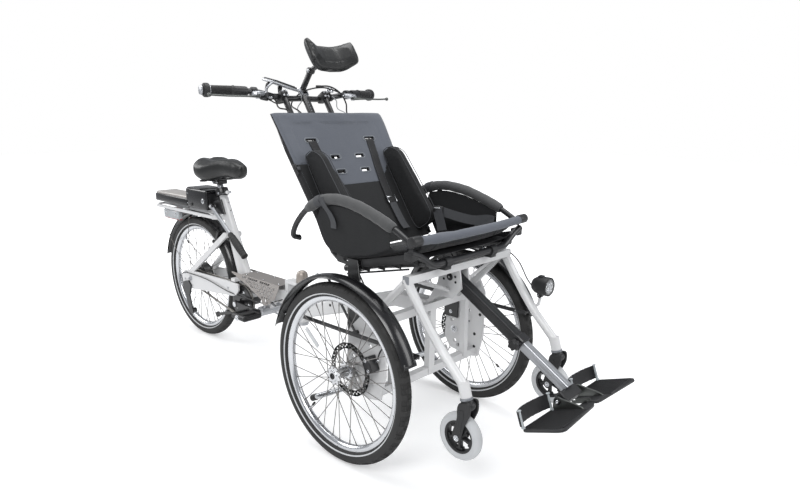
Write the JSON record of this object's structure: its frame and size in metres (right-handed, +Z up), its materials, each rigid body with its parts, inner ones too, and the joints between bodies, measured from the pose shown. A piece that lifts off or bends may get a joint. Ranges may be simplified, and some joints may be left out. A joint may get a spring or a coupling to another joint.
{
  "type": "wheelchair bike",
  "caption": "Wheelchair with two large wheels and castors, joined under its seat to an electric bicycle's rear half.",
  "frame": {"origin": "on the ground, at the middle of the object's length and width", "axes": "+X forwards, towards the footplates; +Y to the rider's left; +Z up"},
  "size_m": [2.4398, 0.864, 1.3777],
  "materials": {
    "white_paint": "gloss",
    "black_paint": "satin",
    "silver_alloy": "satin",
    "grey_sheet": "satin",
    "spoked_steel": "brushed",
    "disc_steel": "brushed",
    "tyre_rubber": "matte",
    "castor_wheel": "matte",
    "black_plastic": "satin",
    "gloss_plastic": "gloss",
    "tail_plastic": "gloss",
    "grip_rubber": "matte",
    "grey_cloth": "matte",
    "black_cloth": "matte",
    "webbing": "matte",
    "black_leather": "satin",
    "chain_steel": "satin"
  },
  "bodies": {
    "chair": {"arm_hoop_left": "grey_cloth", "arm_hoop_right": "grey_cloth", "brake_caliper_left": "black_paint", "brake_caliper_right": "black_paint", "chair_frame": "white_paint", "fender_left": "gloss_plastic", "fender_right": "gloss_plastic", "seat_cushion": "grey_cloth", "seat_frame": "black_paint", "side_guard_left": "black_cloth", "side_guard_right": "black_cloth"},
    "battery": {"battery": "gloss_plastic"},
    "bicycle": {"bicycle_frame": "white_paint", "chain": "chain_steel", "deck_cover": "grey_sheet", "derailleur": "black_plastic", "fender_rear": "gloss_plastic", "rim_brake": "black_paint", "tail_light": "tail_plastic"},
    "brake_left": {"brake_lever_left": "black_paint"},
    "brake_right": {"brake_lever_right": "black_paint"},
    "castor_left": {"castor_fork_left": "black_plastic"},
    "castor_right": {"castor_fork_right": "black_plastic"},
    "castor_roll_left": {"castor_wheel_left": "castor_wheel"},
    "castor_roll_right": {"castor_wheel_right": "castor_wheel"},
    "crank": {"crankset": "black_paint"},
    "foot_left": {"footplate_left": "black_plastic", "heel_strap_left": "webbing"},
    "foot_right": {"footplate_right": "black_plastic", "heel_strap_right": "webbing"},
    "hand_lever": {"hand_lever": "black_plastic"},
    "headlight": {"headlight": "gloss_plastic"},
    "headrest_slide": {"headrest_post": "silver_alloy"},
    "headrest_tilt": {"headrest_neck": "black_paint", "headrest_pad": "black_leather"},
    "kickstand": {"kickstand": "black_paint"},
    "leg_rest": {"leg_rest_outer": "black_paint"},
    "leg_slide": {"leg_rest_inner": "silver_alloy"},
    "pedal_left": {"pedal_left": "black_plastic"},
    "pedal_right": {"pedal_right": "black_plastic"},
    "recline": {"back_cover": "grey_cloth", "back_frame": "black_paint", "grip_left": "grip_rubber", "grip_right": "grip_rubber", "handlebar": "black_paint", "shoulder_belt_left": "webbing", "shoulder_belt_right": "webbing", "side_pad_left": "black_cloth", "side_pad_right": "black_cloth"},
    "saddle_post": {"saddle": "black_leather", "seat_post": "silver_alloy"},
    "sprocket": {"rear_sprocket": "chain_steel"},
    "wheel_left": {"brake_disc_left": "disc_steel", "laced_wheel_left": "spoked_steel", "tyre_left": "tyre_rubber"},
    "wheel_rear": {"laced_wheel_rear": "spoked_steel", "tyre_rear": "tyre_rubber"},
    "wheel_right": {"brake_disc_right": "disc_steel", "laced_wheel_right": "spoked_steel", "tyre_right": "tyre_rubber"}
  },
  "joints": [
    {"name": "wheel_left_turn", "type": "hinge", "parent": "chair", "child": "wheel_left", "pos_m": [0.49107, 0.3325, 0.29687], "axis": [0, 1, 0], "continuous": true},
    {"name": "wheel_right_turn", "type": "hinge", "parent": "chair", "child": "wheel_right", "pos_m": [0.49107, -0.3325, 0.29687], "axis": [0, 1, 0], "continuous": true},
    {"name": "castor_left_swivel", "type": "hinge", "parent": "chair", "child": "castor_left", "pos_m": [0.93207, 0.2525, 0.325], "axis": [-0.2924, 0, 0.9563], "continuous": true},
    {"name": "castor_right_swivel", "type": "hinge", "parent": "chair", "child": "castor_right", "pos_m": [0.93207, -0.2525, 0.325], "axis": [-0.2924, 0, 0.9563], "continuous": true},
    {"name": "castor_left_roll", "type": "hinge", "parent": "castor_left", "child": "castor_roll_left", "pos_m": [0.91525, 0.2525, 0.20901], "axis": [0, 1, 0], "continuous": true},
    {"name": "castor_right_roll", "type": "hinge", "parent": "castor_right", "child": "castor_roll_right", "pos_m": [0.91525, -0.2525, 0.20901], "axis": [0, 1, 0], "continuous": true},
    {"name": "headlight_tilt", "type": "hinge", "parent": "chair", "child": "headlight", "pos_m": [0.84707, 0.2685, 0.50409], "axis": [0, 1, 0], "range_deg": [-20, 20]},
    {"name": "leg_rest_lift", "type": "hinge", "parent": "chair", "child": "leg_rest", "pos_m": [0.68107, 0, 0.592], "axis": [0, -1, 0], "range_deg": [-8, 28]},
    {"name": "leg_rest_length", "type": "slide", "parent": "leg_rest", "child": "leg_slide", "axis": [0.8526, 0, -0.5225], "range_m": [-0.04, 0.08]},
    {"name": "footplate_left_fold", "type": "hinge", "parent": "leg_slide", "child": "foot_left", "pos_m": [1.11136, 0.0535, 0.31425], "axis": [0, -1, 0], "range_deg": [0, 75]},
    {"name": "footplate_right_fold", "type": "hinge", "parent": "leg_slide", "child": "foot_right", "pos_m": [1.11136, -0.0535, 0.31425], "axis": [0, -1, 0], "range_deg": [0, 75]},
    {"name": "back_recline", "type": "hinge", "parent": "chair", "child": "recline", "pos_m": [0.38707, 0, 0.64], "axis": [0, -1, 0], "range_deg": [-5, 15]},
    {"name": "headrest_height", "type": "slide", "parent": "recline", "child": "headrest_slide", "axis": [-0.5446, 0, 0.8387], "range_m": [0, 0.1]},
    {"name": "headrest_tilt", "type": "hinge", "parent": "headrest_slide", "child": "headrest_tilt", "pos_m": [-0.08122, 0, 1.18485], "axis": [0, 1, 0], "range_deg": [-15, 15]},
    {"name": "brake_lever_left_pull", "type": "hinge", "parent": "recline", "child": "brake_left", "pos_m": [-0.04493, 0.232, 1.16], "axis": [0, 0, 1], "range_deg": [0, 15], "stiffness_Nm_per_rad": 0.6},
    {"name": "brake_lever_right_pull", "type": "hinge", "parent": "recline", "child": "brake_right", "pos_m": [-0.04493, -0.232, 1.16], "axis": [0, 0, -1], "range_deg": [0, 15], "stiffness_Nm_per_rad": 0.6},
    {"name": "bicycle_steer", "type": "hinge", "parent": "chair", "child": "bicycle", "pos_m": [-0.10893, 0, 0.245], "axis": [0, 0, 1], "range_deg": [-35, 35]},
    {"name": "wheel_rear_turn", "type": "hinge", "parent": "bicycle", "child": "wheel_rear", "pos_m": [-0.88993, 0, 0.29687], "axis": [0, 1, 0], "continuous": true},
    {"name": "sprocket_turn", "type": "hinge", "parent": "bicycle", "child": "sprocket", "pos_m": [-0.88993, 0, 0.29687], "axis": [0, 1, 0], "continuous": true},
    {"name": "crank_turn", "type": "hinge", "parent": "bicycle", "child": "crank", "pos_m": [-0.47893, 0, 0.258], "axis": [0, 1, 0], "continuous": true},
    {"name": "pedal_left_turn", "type": "hinge", "parent": "crank", "child": "pedal_left", "pos_m": [-0.64893, 0.086, 0.258], "axis": [0, 1, 0], "continuous": true},
    {"name": "pedal_right_turn", "type": "hinge", "parent": "crank", "child": "pedal_right", "pos_m": [-0.30893, -0.086, 0.258], "axis": [0, 1, 0], "continuous": true},
    {"name": "saddle_height", "type": "slide", "parent": "bicycle", "child": "saddle_post", "axis": [-0.3971, 0, 0.9178], "range_m": [-0.015, 0.1]},
    {"name": "kickstand_swing", "type": "hinge", "parent": "bicycle", "child": "kickstand", "pos_m": [-0.54393, -0.0325, 0.196], "axis": [0, -1, 0], "range_deg": [0, 51]},
    {"name": "coupling_release", "type": "hinge", "parent": "bicycle", "child": "hand_lever", "pos_m": [-0.69493, -0.05, 0.672], "axis": [0, -1, 0], "range_deg": [0, 50]},
    {"name": "battery_draw", "type": "slide", "parent": "bicycle", "child": "battery", "axis": [-1, 0, 0], "range_m": [0, 0.1]}
  ],
  "couplings": [
    {"joint": "sprocket_turn", "follows": "crank_turn", "ratio": 2.1111}
  ]
}
